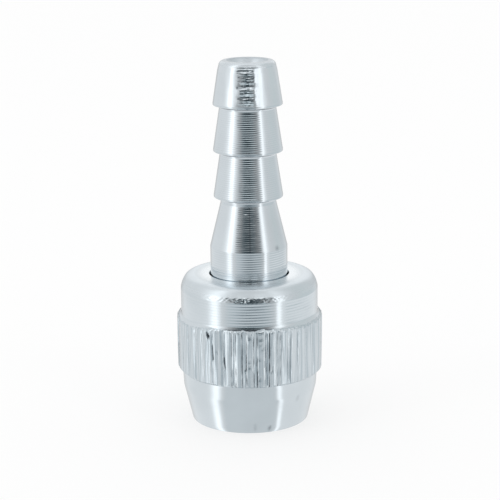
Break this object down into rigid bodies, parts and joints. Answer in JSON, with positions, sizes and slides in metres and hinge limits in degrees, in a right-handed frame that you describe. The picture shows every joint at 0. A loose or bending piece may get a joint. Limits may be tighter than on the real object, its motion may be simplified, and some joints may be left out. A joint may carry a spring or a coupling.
{
  "type": "hose barb fitting with swivel nut",
  "caption": "Straight barbed hose tail with a captive knurled swivel nut that screws on to a valve port and opens its core.",
  "frame": {"origin": "centre of the nut's mouth rim, on the surface that the fitting stands on", "axes": "+Z along the fitting's axis, from the nut's mouth to the end of the hose tail; the fitting is round about it, apart from the knurl and the depressor's legs, one of which points along +Y"},
  "size_m": [0.016, 0.016, 0.0397],
  "materials": {
    "plated_tail": "gloss",
    "plated_nut": "satin",
    "gasket_rubber": "matte",
    "depressor_brass": "satin"
  },
  "bodies": {
    "hose_tail": {"hose_tail": "plated_tail", "gasket": "gasket_rubber", "core_depressor": "depressor_brass"},
    "coupling_nut": {"coupling_nut": "plated_nut"}
  },
  "joints": [
    {"name": "nut_spin", "type": "hinge", "parent": "hose_tail", "child": "coupling_nut", "pos_m": [0, 0, 0.0148], "axis": [0, 0, 1], "continuous": true}
  ]
}
